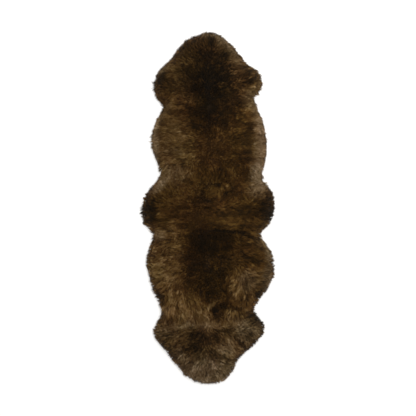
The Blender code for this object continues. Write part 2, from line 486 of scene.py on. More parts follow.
TONES = (
    Tone("upper neck's cooler wool", 0, 710, 250, 170, 0, 0.0, 0.3),
    Tone("lower neck's cooler wool", 0, -720, 280, 150, 0, 0.0, 0.4),
    Tone("dark middle of the upper neck", 10, 665, 125, 190, 0, -0.75),
    Tone("blackest wool of the neck", 15, 655, 85, 90, 0, -0.6),
    Tone("nose", -5, 885, 60, 20, 0, 0.2, 0.6),
    Tone("right of the nose", 42, 876, 30, 14, -24, 0.7, 0.5),
    Tone("light side of the nose", 88, 843, 72, 20, -50, 0.7, 0.5),
    Tone("left of the nose", -80, 845, 50, 24, 38, -0.3),
    Tone("right cheek", 124, 775, 85, 34, -50, 0.45, 0.35),
    Tone("left cheek", -140, 760, 60, 50, 40, 0.0, 0.0),
    Tone("left shoulder", -165, 690, 50, 60, 20, -0.05),
    Tone("left foreleg", -240, 640, 34, 52, 0, -0.75),
    Tone("left foreleg's front edge", -243, 688, 42, 22, 34, 0.95, 0.7),
    Tone("right foreleg", 212, 668, 48, 46, 0, -0.75),
    Tone("right foreleg's rim", 268, 645, 22, 44, 8, 0.45, 0.2),
    Tone("light tuft of the right foreleg", 216, 604, 12, 10, -20, 0.9, 0.1),
    Tone("front of the right flank", 205, 555, 40, 38, -20, 0.3, 0.5),
    Tone("pale hollow behind the left foreleg", -215, 510, 28, 26, 0, 0.45, 0.3),
    Tone("left side of the body", -175, 320, 105, 150, 0, 0.33, 0.2),
    Tone("across the left side of the body", -180, 287, 52, 17, 8, 0.55, 0.2),
    Tone("dark notch on the left", -230, 437, 22, 20, -40, -0.7),
    # Painted highlight and sheen: the left rim's wool is made lighter and greyer where it lies over the edge.
    Tone("left rim", -272, 330, 24, 110, 0, 0.62, 0.7),
    Tone("front of the left rim", -252, 450, 20, 44, -20, 0.5, 0.4),
    Tone("dark middle behind the neck", -15, 450, 85, 65, 0, -0.5),
    Tone("darkest there", 40, 455, 35, 30, 0, -0.3),
    Tone("dim right of the neck", 140, 480, 60, 120, 0, -0.22),
    Tone("middle of the body", 0, 270, 120, 130, 0, -0.18),
    # Painted shade: dark patches that stand for the shadows between clumps of wool.
    Tone("first painted shade between clumps", 205, 412, 24, 20, -20, -0.7),
    Tone("second painted shade between clumps", 160, 360, 40, 18, -20, -0.25),
    Tone("third painted shade between clumps", 198, 285, 20, 50, 0, -0.35),
    Tone("fourth painted shade between clumps", 175, 235, 30, 30, 0, -0.3),
    Tone("fifth painted shade between clumps", 82, 172, 32, 24, 0, -0.5),
    # Painted highlight and sheen: the right rim and its ends are made lighter and greyer where the wool lies
    # over the edge.
    Tone("right rim", 268, 370, 42, 190, 0, 0.68, 0.85),
    Tone("dim spot of the right rim", 240, 300, 22, 20, 0, -0.4),
    Tone("end of the right rim", 225, 430, 16, 26, 0, 0.4, 0.2),
    Tone("left end of the waist", -175, 160, 75, 50, 0, 0.4, 0.4),
    Tone("right end of the waist", 250, 165, 40, 62, 0, 0.5, 0.9),
    Tone("top of the right rump", 248, 78, 52, 26, -14, 0.45, 0.6),
    Tone("edge above the right rump", 290, 112, 28, 24, -35, 0.85, 0.7),
    Tone("left rump's lower edge", -312, -92, 26, 16, -40, 0.6, 0.3),
    Tone("right rump's lower edge", 292, -105, 30, 14, 38, 0.6, 0.3),
    Tone("dim right of the curls", 130, 110, 60, 70, 0, -0.18),
    Tone("shadow at the seam", -25, 42, 75, 20, 8, -0.6),
    Tone("shadow right of the seam's middle", 112, 72, 26, 24, 30, -0.4),
    Tone("left rump's top", -250, 114, 48, 22, 36, 0.75, 0.8),
    Tone("left rump", -300, -15, 44, 70, 0, -1.0),
    Tone("right rump", 305, -8, 44, 64, 0, -1.0),
    Tone("band's left half", -145, -24, 120, 34, 0, -0.38),
    Tone("band's right half", 190, -48, 90, 46, 0, -0.48),
    Tone("band's dark knot", 72, -16, 36, 44, 0, -0.45),
    Tone("band's warm middle", 130, -70, 60, 26, 0, 0.32),
    Tone("dark line under the band", 112, -119, 96, 8, -4, -0.6, 0.0, True),
    Tone("pale left end under the band", -195, -114, 50, 26, 0, 0.45, 0.1),
    Tone("dark middle of the lower pelt", 12, -280, 118, 150, 0, -0.75),
    Tone("dark block below the band", 22, -163, 112, 56, 0, -0.5, 0.0, True),
    Tone("dim right end of the block", 165, -130, 60, 26, 0, -0.15),
    Tone("light tuft below the left rump", -252, -146, 28, 26, 0, 0.75, 0.5),
    Tone("left flank", -215, -265, 90, 140, 0, 0.13, 0.15),
    Tone("left flank's dim edge", -300, -240, 24, 60, 0, -0.4),
    Tone("foot of the left flank", -234, -362, 40, 36, 0, 0.42),
    Tone("warm strip left of the dark middle", -152, -225, 26, 90, 0, 0.35),
    Tone("right flank", 215, -182, 62, 78, 0, -0.58),
    Tone("light edge below the right rump", 276, -185, 26, 50, 20, 0.7, 0.5),
    Tone("right flank's rim", 312, -225, 24, 50, 0, 0.3, 0.8),
    Tone("right flank's lower rim", 306, -345, 26, 75, 0, 0.12, 1.0),
    Tone("light staples", 140, -360, 44, 62, 0, 0.75, 0.1),
    Tone("right of the light staples", 218, -374, 48, 44, 0, 0.4, 0.6),
    Tone("below the light staples", 182, -442, 56, 36, -10, 0.75, 0.1),
    Tone("right of the pit's tufts", 176, -520, 26, 26, 0, 0.3, 0.1),
    Tone("left shadow line", -243, -452, 46, 13, -66, -0.85),
    Tone("left edge of the lower waist", -226, -535, 18, 36, 0, 0.5, 0.3),
    Tone("right shadow line", 260, -438, 46, 12, 58, -0.9),
    Tone("long staples", -128, -500, 72, 120, 8, 0.52, 0.1),
    Tone("staples left of the pit", -22, -562, 28, 52, 22, 0.5, 0.1),
    Tone("lower end of the dark middle", -5, -440, 60, 45, 0, -0.4),
    Tone("ragged left side of the dark middle", -108, -385, 34, 70, 12, -0.32),
    Tone("light crescent over the pit", 24, -484, 32, 12, 24, 1.1, 0.3),
    # The pit is painted shade: a hollow in the wool, darkened.
    Tone("pit", 47, -528, 30, 25, -20, -1.5),
    Tone("dark right of the pit", 100, -500, 40, 20, 0, -0.5),
    Tone("tufts on the right", 116, -540, 26, 26, 0, 0.3, 0.1),
    Tone("light line", 0, -597, 170, 14, 2, 0.45, 0.2),
    Tone("left end of the light line", -130, -592, 60, 18, 0, 0.35, 0.2),
    Tone("light strip of the lower neck", 0, -625, 24, 26, 0, 0.4),
    Tone("dark part of the lower neck", -60, -672, 48, 62, 0, -0.9),
    Tone("dark right of the lower neck's middle", 48, -668, 34, 28, 10, -0.3),
    Tone("light patch right of the lower neck", 94, -716, 46, 32, 20, 0.5, 0.4),
    Tone("dim patch right of the lower neck", 82, -775, 36, 24, 0, -0.3),
    Tone("dim patch left of the lower neck", -140, -698, 30, 24, 0, -0.3),
    Tone("left foreleg, lower pelt", -225, -632, 56, 30, 0, 0.3, 0.5),
    Tone("right foreleg, lower pelt", 212, -618, 72, 56, 0, 0.55, 0.8),
    Tone("dim front of the right foreleg", 175, -655, 34, 24, 0, -0.35),
    Tone("dim edge of the right foreleg", 270, -600, 24, 60, 0, -0.6),
    Tone("dark heel of the right foreleg", 228, -562, 30, 24, -30, -1.3),
    Tone("left of the lower neck", -152, -745, 36, 36, 0, 0.4, 0.5),
    Tone("lower neck", 0, -845, 170, 74, 0, 0.68, 0.9),
    # Painted shade along the lower neck's two edges.
    Tone("left edge of the lower neck", -188, -755, 130, 14, -50, -0.4),
    Tone("right edge of the lower neck", 165, -775, 115, 14, 50, -0.5),
)


def turned(vectors: np.ndarray, angles: np.ndarray) -> np.ndarray:
    """Plan vectors, each turned by its own angle in radians."""
    (x, y), cos, sin = vectors.T, np.cos(angles), np.sin(angles)
    return np.stack((x * cos - y * sin, x * sin + y * cos), axis=-1)


@dataclass(frozen=True)
class Curl:
    """A tuft that winds round its own middle, paler on top, with a dark parting round it.

    Sizes are in millimetres. The crest and the parting are each a distance from the middle and a
    width, in radii. Combed is how smooth the curl is, and core and fall how soon it fades outwards.
    Its paler crest is a painted highlight, and its dark parting is painted shade.
    """

    what: str
    x: float
    y: float
    radius: float
    lean: float
    # Lighter is the crest's painted highlight, and darker is the parting's painted shade.
    lighter: float
    darker: float
    squash: float = 1.3
    inwards: float = 50
    crest: tuple[float, float] = (0.7, 0.28)
    parting: tuple[float, float] = (1.25, 0.18)
    combed: float = 0.7
    core: float = 0.7
    fall: int = 4
    shortest: float = 0.6

    def around(self, places: Places) -> tuple[np.ndarray, np.ndarray]:
        """How places lie round the curl.

        Args:
            places: Plan points, one a row.

        Returns:
            The way round the curl at each, shorter near its middle, and the distance from there in radii.
        """
        offset = (places[:, :2] / MM - (self.x, self.y)) * (1, self.squash)
        distance = np.linalg.norm(offset, axis=1)
        wound = turned(offset, np.full(len(places), math.radians(90 + self.inwards)))
        return wound / np.maximum(distance, self.shortest * self.radius)[:, None], distance / self.radius


CURLS = (
    Curl("the curl in the rug's middle", 30, 76, 48, 62, 0.22, 0.5),
    Curl("the curl to its right", 86, 104, 28, 60, 0.4, 0.3),
    Curl("the pit's curl", 40, -522, 38, 62, 0.2, 0.1),
)


@dataclass(frozen=True)
class Ragged:
    """A stretch of the rim where single tufts stick out. Sizes are in millimetres, the turn in degrees."""

    what: str
    x: float
    y: float
    half_length: float
    half_width: float
    turn: float
    reach: float


RAGGED_SPOTS = (
    Ragged("left of the nose", -110, 858, 60, 30, 38, 12),
    Ragged("right cheek", 150, 812, 80, 30, -50, 10),
    Ragged("left foreleg", -290, 625, 50, 45, 0, 26),
    Ragged("fullest part of the left flank", -295, 350, 60, 40, 0, 24),
    Ragged("left rump", -345, -30, 55, 95, 0, 22),
    Ragged("right rump", 340, 15, 50, 90, 0, 20),
    Ragged("right foreleg", 262, 600, 40, 40, 0, 14),
    Ragged("top of the right rump", 285, 130, 40, 30, 0, 18),
    Ragged("end of the left flank", -280, -420, 50, 90, -60, 12),
    Ragged("fullest part of the right flank", 335, -330, 40, 60, 0, 14),
)


def placed_in(places: Places, region: Lie | Tone | Ragged) -> tuple[np.ndarray, np.ndarray]:
    """Where places lie in a region.

    Args:
        places: Plan points, one a row.
        region: The region, in millimetres and degrees.

    Returns:
        How far along and across it each is, in units of its half sizes.
    """
    turn = math.radians(region.turn)
    dx = places[:, 0] / MM - region.x
    dy = places[:, 1] / MM - region.y
    along = (dx * math.cos(turn) + dy * math.sin(turn)) / region.half_length
    across = (dy * math.cos(turn) - dx * math.sin(turn)) / region.half_width
    return along, across


def bump_weight(places: Places, region: Lie | Tone | Ragged) -> np.ndarray:
    """How much each place belongs to a soft oval region.

    Args:
        places: Plan points, one a row.
        region: The oval, in millimetres and degrees.

    Returns:
        A weight from 0, outside, to 1, in the middle.
    """
    core, fall = 0.6, 1.8
    along, across = placed_in(places, region)
    return np.exp(-core * (along**2 + across**2) ** fall)


def box_weight(places: Places, region: Tone) -> np.ndarray:
    """How much each place belongs to a region with nearly straight, crisp edges.

    Args:
        places: Plan points, one a row.
        region: The region, in millimetres and degrees.

    Returns:
        A weight from 0, outside, to 1, inside.
    """
    wave, squareness, edge = 0.08, 6, 0.2
    along, across = placed_in(places, region)
    wavy = wave * EDGE_WAVE.at(places)
    from_middle = (along**squareness + across**squareness) ** (1 / squareness)
    return np.clip((1 + wave + wavy - from_middle) / edge, 0, 1)


def peak(values: np.ndarray, middle: float, width: float) -> np.ndarray:
    """A smooth peak of height 1 where the values are near its middle."""
    return np.exp(-(((values - middle) / width) ** 2))


@dataclass
class SoftNoise:
    """Smooth random values over the plan, with bumps about as wide as the pitch."""

    seed: int
    pitch: float
    size: int = 256
    values: np.ndarray = field(init=False)

    def __post_init__(self) -> None:
        """Draws the values at the grid's corners."""
        self.values = np.random.default_rng(self.seed).uniform(-1, 1, (self.size, self.size))

    def at(self, places: Places) -> np.ndarray:
        """Reads the noise.

        Args:
            places: Plan points, one a row.

        Returns:
            Its value at each, from -1 to 1.
        """
        scaled = places[:, :2] / self.pitch + self.size / 2
        corner = np.floor(scaled).astype(int)
        part = scaled - corner
        part = part * part * (3 - 2 * part)
        i, j = corner[:, 0] % self.size, corner[:, 1] % self.size
        i1, j1 = (i + 1) % self.size, (j + 1) % self.size
        low = self.values[i, j] * (1 - part[:, 0]) + self.values[i1, j] * part[:, 0]
        high = self.values[i, j1] * (1 - part[:, 0]) + self.values[i1, j1] * part[:, 0]
        return low * (1 - part[:, 1]) + high * part[:, 1]


# The waves of a crisp patch's edge, the ragged rim, its stray tips, and the broad clouds of tone.
EDGE_WAVE = SoftNoise(25, 22 * MM)
RAGGED_RIM = SoftNoise(13, 11 * MM)
STRAY_TIPS = SoftNoise(14, 8 * MM)
CLOUDS = SoftNoise(5, 62 * MM)
# How patches of tone stray, along X and Y, so that their edges are uneven: the axis, the noise, how far.
PATCH_STRAY = tuple(
    (axis, SoftNoise(seed + axis, pitch), reach)
    for seed, pitch, reach in ((17, 46 * MM, 13 * MM), (21, 15 * MM, 7 * MM))
    for axis in (0, 1)
)
# How whole stretches of wool turn off their way, in radians, broadly and finely.
SWIRLS = ((SoftNoise(41, 48 * MM), 0.3), (SoftNoise(42, 16 * MM), 0.22))
# The fine and the broad streaks along the wool, and how far each runs either way.
STREAKS = ((SoftNoise(8, 5.5 * MM), 30 * MM), (SoftNoise(9, 17 * MM), 60 * MM))


@dataclass
class Fleece:
    """The fleece's shape, read from the frame on a grid.

    It knows the fleece's top, how deep inside its rim a place is, and which way is out. The blurs
    are in cells of the grid, and leans in degrees. The top is kept at least as high as a soft edge
    of wool, which starts at rim_height, rim_start outside the reach, and rises over rim_run.
    """

    pitch: float = 4 * MM
    margin: float = 60 * MM
    foot_inset: float = 24 * MM
    beyond: float = 30 * MM
    ray_height: float = 1.0
    rim_start: float = 12 * MM
    rim_run: float = 27 * MM
    rim_height: float = 4 * MM
    rim_rise: float = 19 * MM
    top_blur: float = 1.3
    out_blur: float = 5.0
    out_floor: float = 0.25
    seam_edge: float = 2 * MM
    middle_lean: float = 16
    rim_lean: float = 62
    lean_reach: float = 62 * MM
    lean_fall: float = 1.6
    loops: dict[Pelt, np.ndarray] = field(init=False)
    corner: np.ndarray = field(init=False)
    top: np.ndarray = field(init=False)
    inset: np.ndarray = field(init=False)
    out: np.ndarray = field(init=False)

    def __post_init__(self) -> None:
        """Samples the frame's solids on a grid."""
        nodes = {pelt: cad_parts[pelt.value] for pelt in Pelt}
        self.loops = {pelt: self.foot_loop(node) for pelt, node in nodes.items()}
        low, high = cad_box
        self.corner = np.array((low.x, low.y)) - self.margin
        count = np.ceil((np.array((high.x, high.y)) + self.margin - self.corner) / self.pitch).astype(int)
        xs = self.corner[0] + self.pitch * np.arange(count[0])
        ys = self.corner[1] + self.pitch * np.arange(count[1])
        places = np.stack(np.meshgrid(xs, ys, indexing="ij"), axis=-1).reshape(-1, 2)
        shape = tuple(count)
        self.inset = self.distance_inside(places).reshape(shape) + self.foot_inset
        heights = np.zeros(len(places))
        near = np.flatnonzero(self.inset.ravel() > -self.beyond)
        for node in nodes.values():
            tree = BVHTree.FromObject(node, bpy.context.evaluated_depsgraph_get())
            for k in near:
                start = Vector((places[k, 0], places[k, 1], self.ray_height))
                hit = tree.ray_cast(start, Vector((0, 0, -1)))[0]
                if hit is not None:
                    heights[k] = max(heights[k], hit.z)
        rim = np.clip((self.inset + self.rim_start) / self.rim_run, 0, 1)
        edge = self.rim_height + self.rim_rise * rim * rim * (3 - 2 * rim)
        self.top = np.maximum(self.blurred(heights.reshape(shape), self.top_blur), edge)
        smooth = self.blurred(self.inset, self.out_blur)
        slope = np.stack(np.gradient(-smooth, self.pitch), axis=-1)
        self.out = slope / np.maximum(np.linalg.norm(slope, axis=-1, keepdims=True), self.out_floor)

    @staticmethod
    def foot_loop(node: bpy.types.Object) -> np.ndarray:
        """The edge of the flat underside of a pelt's solid, as a closed loop of plan points.

        Args:
            node: The pelt's object in the frame.

        Returns:
            The loop's points in order, one a row.
        """
        neighbours: dict[tuple, list[tuple]] = {}
        counts: dict[frozenset, int] = {}
        for polygon in node.data.polygons:
            corners = [node.data.vertices[v].co for v in polygon.vertices]
            if max(c.z for c in corners) > ON_FLOOR:
                continue
            keys = [(round(c.x, CORNER_DECIMALS), round(c.y, CORNER_DECIMALS)) for c in corners]
            for a, b in zip(keys, keys[1:] + keys[:1]):
                edge = frozenset((a, b))
                counts[edge] = counts.get(edge, 0) + 1
        for edge, count in counts.items():
            if count == 1:
                a, b = edge
                neighbours.setdefault(a, []).append(b)
                neighbours.setdefault(b, []).append(a)
        start = min(neighbours)
        loop = [start, neighbours[start][0]]
        while loop[-1] != start:
            a, b = neighbours[loop[-1]]
            loop.append(b if a == loop[-2] else a)
        return np.array(loop[:-1])

    def distance_inside(self, places: Places) -> np.ndarray:
        """How far places lie inside the edge of the flat underside, ignoring the seam.

        Args:
            places: Plan points, one a row.

        Returns:
            A distance for each, negative outside.
        """
        starts = np.concatenate(list(self.loops.values()))
        ends = np.concatenate([np.roll(loop, -1, axis=0) for loop in self.loops.values()])
        at_seam = (np.abs(starts[:, 1]) < self.seam_edge) & (np.abs(ends[:, 1]) < self.seam_edge)
        starts, ends = starts[~at_seam], ends[~at_seam]
        run = ends - starts
        length = (run**2).sum(axis=1)
        found = np.full(len(places), np.inf)
        inside = np.zeros(len(places), bool)
        for a, b, step, size in zip(starts, ends, run, length):
            offset = places - a
            t = np.clip((offset @ step) / size, 0, 1)
            found = np.minimum(found, ((offset - t[:, None] * step) ** 2).sum(axis=1))
            spans = (a[1] > places[:, 1]) != (b[1] > places[:, 1])
            if spans.any():
                crossing = a[0] + (places[:, 1] - a[1]) * step[0] / (step[1] or 1)
                inside ^= spans & (places[:, 0] < crossing)
        return np.where(inside, 1, -1) * np.sqrt(found)

    @staticmethod
    def blurred(values: np.ndarray, spread: float) -> np.ndarray:
        """Blurs a grid of values.

        Args:
            values: The grid.
            spread: The blur's standard deviation, in cells.

        Returns:
            The blurred grid.
        """
        deviations = 3
        reach = int(deviations * spread) + 1
        weights = np.exp(-0.5 * (np.arange(-reach, reach + 1) / spread) ** 2)
        weights /= weights.sum()
        for axis in (0, 1):
            values = sum(w * np.roll(values, k, axis) for k, w in zip(range(-reach, reach + 1), weights))
        return values

    def sample(self, grid: np.ndarray, places: Places) -> np.ndarray:
        """Reads a grid between its corners.

        Args:
            grid: One of this fleece's grids.
            places: Plan points, one a row.

        Returns:
            The grid's value at each place.
        """
        scaled = (places[:, :2] - self.corner) / self.pitch
        last_cell = 1.001
        scaled = np.clip(scaled, 0, np.array(grid.shape[:2]) - last_cell)
        i, j = np.floor(scaled).astype(int).T
        part = scaled - np.floor(scaled)
        if grid.ndim == 3:
            part = part[:, :, None]
        u, v = part[:, 0], part[:, 1]
        low = grid[i, j] * (1 - u) + grid[i + 1, j] * u
        high = grid[i, j + 1] * (1 - u) + grid[i + 1, j + 1] * u
        return low * (1 - v) + high * v

    def lie_at(self, places: Places) -> tuple[np.ndarray, np.ndarray, np.ndarray]:
        """Which way the wool lies, how flat, how smooth and how long it has grown.

        Args:
            places: Plan points, one a row.

        Returns:
            A plan vector a row, as long as the sine of the wool's lean, its smoothness and its growth.
        """
        inset = self.sample(self.inset, places)
        near_rim = np.exp(-((np.maximum(inset, 0) / self.lean_reach) ** self.lean_fall))
        lean = np.radians(self.middle_lean + self.rim_lean * near_rim)
        out = self.sample(self.out, places)
        lie = out * np.sin(lean)[:, None]
        smooth = np.zeros(len(places))
        growth = np.ones(len(places))
        for region in LIES:
            weight = bump_weight(places, region)
            way = math.radians(region.way or 0)
            aim = out if region.way is None else np.array((math.cos(way), math.sin(way)))
            lie = lie * (1 - weight)[:, None] + aim * math.sin(math.radians(region.lean)) * weight[:, None]
            smooth = smooth * (1 - weight) + region.smooth * weight
            growth = growth * (1 - weight) + region.growth * weight
        for curl in CURLS:
            way, distance = curl.around(places)
            weight = np.exp(-curl.core * distance**curl.fall)[:, None]
            lie = lie * (1 - weight) + way * math.sin(math.radians(curl.lean)) * weight
            smooth = np.maximum(smooth, weight[:, 0] * curl.combed)
        return lie, smooth, growth

    def look_at(self, places: Places) -> tuple[np.ndarray, np.ndarray]:
        """How light and how grey the wool is.

        Args:
            places: Plan points, one a row.

        Returns:
            The tone and the greyness at each place.
        """
        tone = np.zeros(len(places))
        grey = np.zeros(len(places))
        strayed = places[:, :2].astype(float).copy()
        for axis, noise_layer, reach in PATCH_STRAY:
            strayed[:, axis] += reach * noise_layer.at(places)
        for region in TONES:
            weight = box_weight(places, region) if region.squared else bump_weight(strayed, region)
            tone += region.lighter * weight
            grey += region.greyer * weight
        for curl in CURLS:
            distance = curl.around(places)[1]
            # Each curl's crest gets a painted highlight and its parting painted shade.
            tone += curl.lighter * peak(distance, *curl.crest)
            tone -= curl.darker * peak(distance, *curl.parting)
        return tone, np.clip(grey, 0, 1)


def place_piece(name: str, mesh: bpy.types.Mesh, material: bpy.types.Material) -> bpy.types.Object:
    """Links a mesh as a piece of the rug.

    Args:
        name: The piece's name.
        mesh: Its mesh, in the frame's own coordinates.
        material: Its finish.

    Returns:
        The new object, riding on the rug's one body.
    """
    mesh.name = name
    mesh.materials.clear()
    mesh.materials.append(material)
    piece = bpy.data.objects.new(name, mesh)
    bpy.context.scene.collection.objects.link(piece)
    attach(piece, BODY)
    LOG.info("%s: %d triangles", name, sum(len(p.vertices) - 2 for p in mesh.polygons))
    return piece


@dataclass
class Hide:
    """One tanned skin: a sheet of suede, flat on the floor, its edge a little inside the wool's reach.

    Clear is how far its inner points keep off the rim and shake how far they stray, both as shares
    of the grid's pitch.
    """

    pelt: Pelt
    fleece: Fleece
    thickness: float = 2.5 * MM
    grid_pitch: float = 16 * MM
    seam_gap: float = 0.2 * MM
    seam_lift: float = 1.3 * MM
    seam_reach: float = 7 * MM
    edge_lift: float = 0.8 * MM
    edge_reach: float = 30 * MM
    wave_pitch: float = 60 * MM
    clear: float = 0.6
    shake: float = 0.25
    seed: int = 5

    def build(self) -> bpy.types.Object:
        """Builds the sheet.

        Returns:
            The hide's piece.
        """
        loop = self.fleece.loops[self.pelt].copy()
        loop[np.abs(loop[:, 1]) < self.seam_gap, 1] = 0.0
        chance = np.random.default_rng(self.seed + self.pelt.towards_neck)
        low, high = loop.min(axis=0), loop.max(axis=0)
        xs = np.arange(low[0], high[0], self.grid_pitch)
        ys = np.arange(low[1], high[1], self.grid_pitch)
        inner = np.stack(np.meshgrid(xs, ys), axis=-1).reshape(-1, 2)
        inner += chance.uniform(-self.shake, self.shake, inner.shape) * self.grid_pitch
        clear = self.clear * self.grid_pitch
        keep = self.fleece.sample(self.fleece.inset, inner) > self.fleece.foot_inset + clear
        keep &= inner[:, 1] * self.pelt.towards_neck > clear
        points = [Vector(p) for p in loop] + [Vector(p) for p in inner[keep]]
        rim = [(k, (k + 1) % len(loop)) for k in range(len(loop))]
        vertices, _, faces, *_ = geometry.delaunay_2d_cdt(points, rim, [], 1, TINY)
        bm = bmesh.new()
        made = [bm.verts.new((v.x, v.y, self.lift(v.x, v.y))) for v in vertices]
        for face in faces:
            bm.faces.new([made[k] for k in face])
        bmesh.ops.recalc_face_normals(bm, faces=bm.faces)
        if sum(f.normal.z for f in bm.faces) > 0:
            bmesh.ops.reverse_faces(bm, faces=bm.faces)
        bmesh.ops.solidify(bm, geom=list(bm.faces), thickness=self.thickness)
        lowest = min(v.co.z for v in bm.verts)
        for vert in bm.verts:
            vert.co.z -= lowest
        mesh = self.ordered_mesh(bm)
        bm.free()
        piece = place_piece(f"{self.pelt.value}_hide", mesh, BuffedSuede().material())
        return piece

    @staticmethod
    def ordered_mesh(bm: bmesh.types.BMesh) -> bpy.types.Mesh:
        """Turns the sheet into a mesh whose faces come in the same order in each run.

        Args:
            bm: The sheet, whose rim faces were made in no fixed order.

        Returns:
            The mesh.
        """
        bm.verts.index_update()
        faces = []
        for face in bm.faces:
            numbers = [vert.index for vert in face.verts]
            first = numbers.index(min(numbers))
            faces.append(numbers[first:] + numbers[:first])
        mesh = bpy.data.meshes.new("hide")
        mesh.from_pydata([vert.co for vert in bm.verts], [], sorted(faces))
        return mesh

    def lift(self, x: float, y: float) -> float:
        """How far the hide rises off the floor, at the sewn edge and here and there at its rim.

        Args:
            x: The place across the rug.
            y: The place along it.

        Returns:
            The rise there.
        """
        seam = max(0.0, 1 - abs(y) / self.seam_reach)
        inset = float(self.fleece.sample(self.fleece.inset, np.array([[x, y]]))[0]) - self.fleece.foot_inset
        edge = max(0.0, 1 - inset / self.edge_reach) if abs(y) > self.edge_reach else 0.0
        wave = 0.5 + 0.5 * noise.noise(Vector((x, y, 0)) / self.wave_pitch)
        return self.seam_lift * seam * seam + self.edge_lift * edge * max(0.0, wave)

    @staticmethod
    def plan_area(loop: np.ndarray) -> float:
        """The area inside a closed loop of plan points."""
        x, y = loop.T
        return abs(float((x * np.roll(y, -1) - y * np.roll(x, -1)).sum())) / 2


def store(mesh: bpy.types.Mesh, name: str, values: np.ndarray) -> None:
    """Stores one number for each point of a mesh under a name that its material reads.

    Args:
        mesh: The mesh.
        name: The attribute's name.
        values: The numbers, in the points' order.
    """
    mesh.attributes.new(name, "FLOAT", "POINT").data.foreach_set("value", values.astype(np.float32))


@dataclass
class Underwool:
    """The dense wool close to the hide, which stands for the pelt's solid and fills the fleece from below."""

    pelt: Pelt
    fleece: Fleece
    floor: float = 2.8 * MM
    foot: float = 2 * MM
    height_share: float = 0.68
    rim_inset: float = 8 * MM
    voxel: float = 8.5 * MM
    lump: float = 4 * MM
    lump_pitch: float = 13 * MM

    def build(self) -> bpy.types.Object:
        """Builds the underwool from the pelt's solid.

        Returns:
            The underwool's piece.
        """
        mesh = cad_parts[self.pelt.value].data.copy()
        places = np.empty(len(mesh.vertices) * 3, np.float32)
        mesh.vertices.foreach_get("co", places)
        places = places.reshape(-1, 3).astype(float)
        inset = self.fleece.sample(self.fleece.inset, places)
        out = self.fleece.sample(self.fleece.out, places)
        places[:, :2] -= out * np.maximum(self.rim_inset - inset, 0)[:, None]
        places[:, 2] = self.floor + self.height_share * places[:, 2]
        mesh.vertices.foreach_set("co", places.astype(np.float32).ravel())
        shaper = bpy.data.objects.new("shaper", mesh)
        bpy.context.scene.collection.objects.link(shaper)
        remesh = shaper.modifiers.new("even", "REMESH")
        remesh.mode = "VOXEL"
        remesh.voxel_size = self.voxel
        evaluated = shaper.evaluated_get(bpy.context.evaluated_depsgraph_get())
        even = bpy.data.meshes.new_from_object(evaluated)
        bpy.data.objects.remove(shaper)
        for vert in even.vertices:
            if vert.co.z > self.floor + self.foot:
                vert.co.z += self.lump * noise.noise(vert.co / self.lump_pitch)
            vert.co.z = max(vert.co.z, self.floor)
        even.shade_smooth()
        points = np.array([vert.co[:] for vert in even.vertices])
        tone, grey = self.fleece.look_at(points)
        store(even, "tone", np.clip(BASE_TONE + TONE_GAIN * tone, 0, 1))
        store(even, "grey", grey)
        piece = place_piece(f"{self.pelt.value}_underwool", even, DenseUnderwool().material())
        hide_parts(self.pelt.value)
        return piece


def even_places(
    low: np.ndarray, high: np.ndarray, spacing: float, shake: float, chance: np.random.Generator
) -> Places:
    """An even pattern of plan points in staggered rows, a little shaken.

    Args:
        low: The pattern's lowest corner.
        high: Its highest corner.
        spacing: The distance between neighbours.
        shake: How far a point strays, as a share of the spacing.
        chance: The source of the shaking.

    Returns:
        The points, one a row.
    """
    rows = np.arange(low[1], high[1], spacing * math.sqrt(3) / 2)
    columns = np.arange(low[0], high[0], spacing)
    x, y = np.meshgrid(columns, rows)
    x[1::2] += spacing / 2
    places = np.stack((x, y), axis=-1).reshape(-1, 2)
    return places + chance.normal(0, shake, places.shape) * spacing


@dataclass
class Tufts:
    """The tufts that a fleece parts into: a few staples each, with their own way, height and shade.

    Shake is a share of the spacing and turn is in radians. Swirl, tone and proud hold each tuft's
    own turn, shade and height.
    """

    fleece: Fleece
    seed: int = 31
    spacing: float = 27 * MM
    shake: float = 0.28
    turn: float = 0.3
    batch: int = 1000
    middles: Places = field(init=False)
    swirl: np.ndarray = field(init=False)
    tone: np.ndarray = field(init=False)
    proud: np.ndarray = field(init=False)

    def __post_init__(self) -> None:
        """Draws the tufts' middles and their differences."""
        chance = np.random.default_rng(self.seed)
        low = self.fleece.corner
        high = low + self.fleece.pitch * np.array(self.fleece.top.shape)
        self.middles = even_places(low, high, self.spacing, self.shake, chance)
        count = len(self.middles)
        self.swirl = chance.normal(0, self.turn, count)
        self.tone = chance.normal(0, 1.0, count)
        self.proud = chance.normal(0, 1.0, count)

    def owner_of(self, places: Places) -> np.ndarray:
        """Finds the tuft that each place belongs to, in batches that fit the memory.

        Args:
            places: Plan points, one a row.

        Returns:
            The number of each one's tuft.
        """
        found = np.empty(len(places), int)
        for start in range(0, len(places), self.batch):
            part = places[start : start + self.batch]
            gaps = ((part[:, None, :] - self.middles[None, :, :]) ** 2).sum(axis=2)
            found[start : start + self.batch] = gaps.argmin(axis=1)
        return found


class Stand(Enum):
    """How a piece's staples stand: upright on the pelt's middle, or lying over its flanks."""

    UPRIGHT = "crown"
    LYING = "flank"


@dataclass(frozen=True)
class Grooming:
    """How the staples of one piece of the fleece grew and were brushed.

    Gather is how far a lock's strands draw together at the tip, tousled how much the locks'
    ways differ, and contrast how much their shades do.
    """

    length: float
    width: float
    strands: int
    spacing: float
    gather: float
    tousled: float
    contrast: float


CROWN = Grooming(44 * MM, 2.1 * MM, 5, 6.5 * MM, gather=0.42, tousled=1.0, contrast=1.05)
FLANKS = {
    Pelt.UPPER: Grooming(46 * MM, 2.0 * MM, 7, 6.5 * MM, gather=0.45, tousled=0.55, contrast=1.0),
    Pelt.LOWER: Grooming(46 * MM, 2.0 * MM, 11, 8.2 * MM, gather=0.8, tousled=1.25, contrast=1.15),
}

# Pieces with the same spacing share one pattern of locks, so they draw it from the same seed.
LOCK_PATTERN = 7
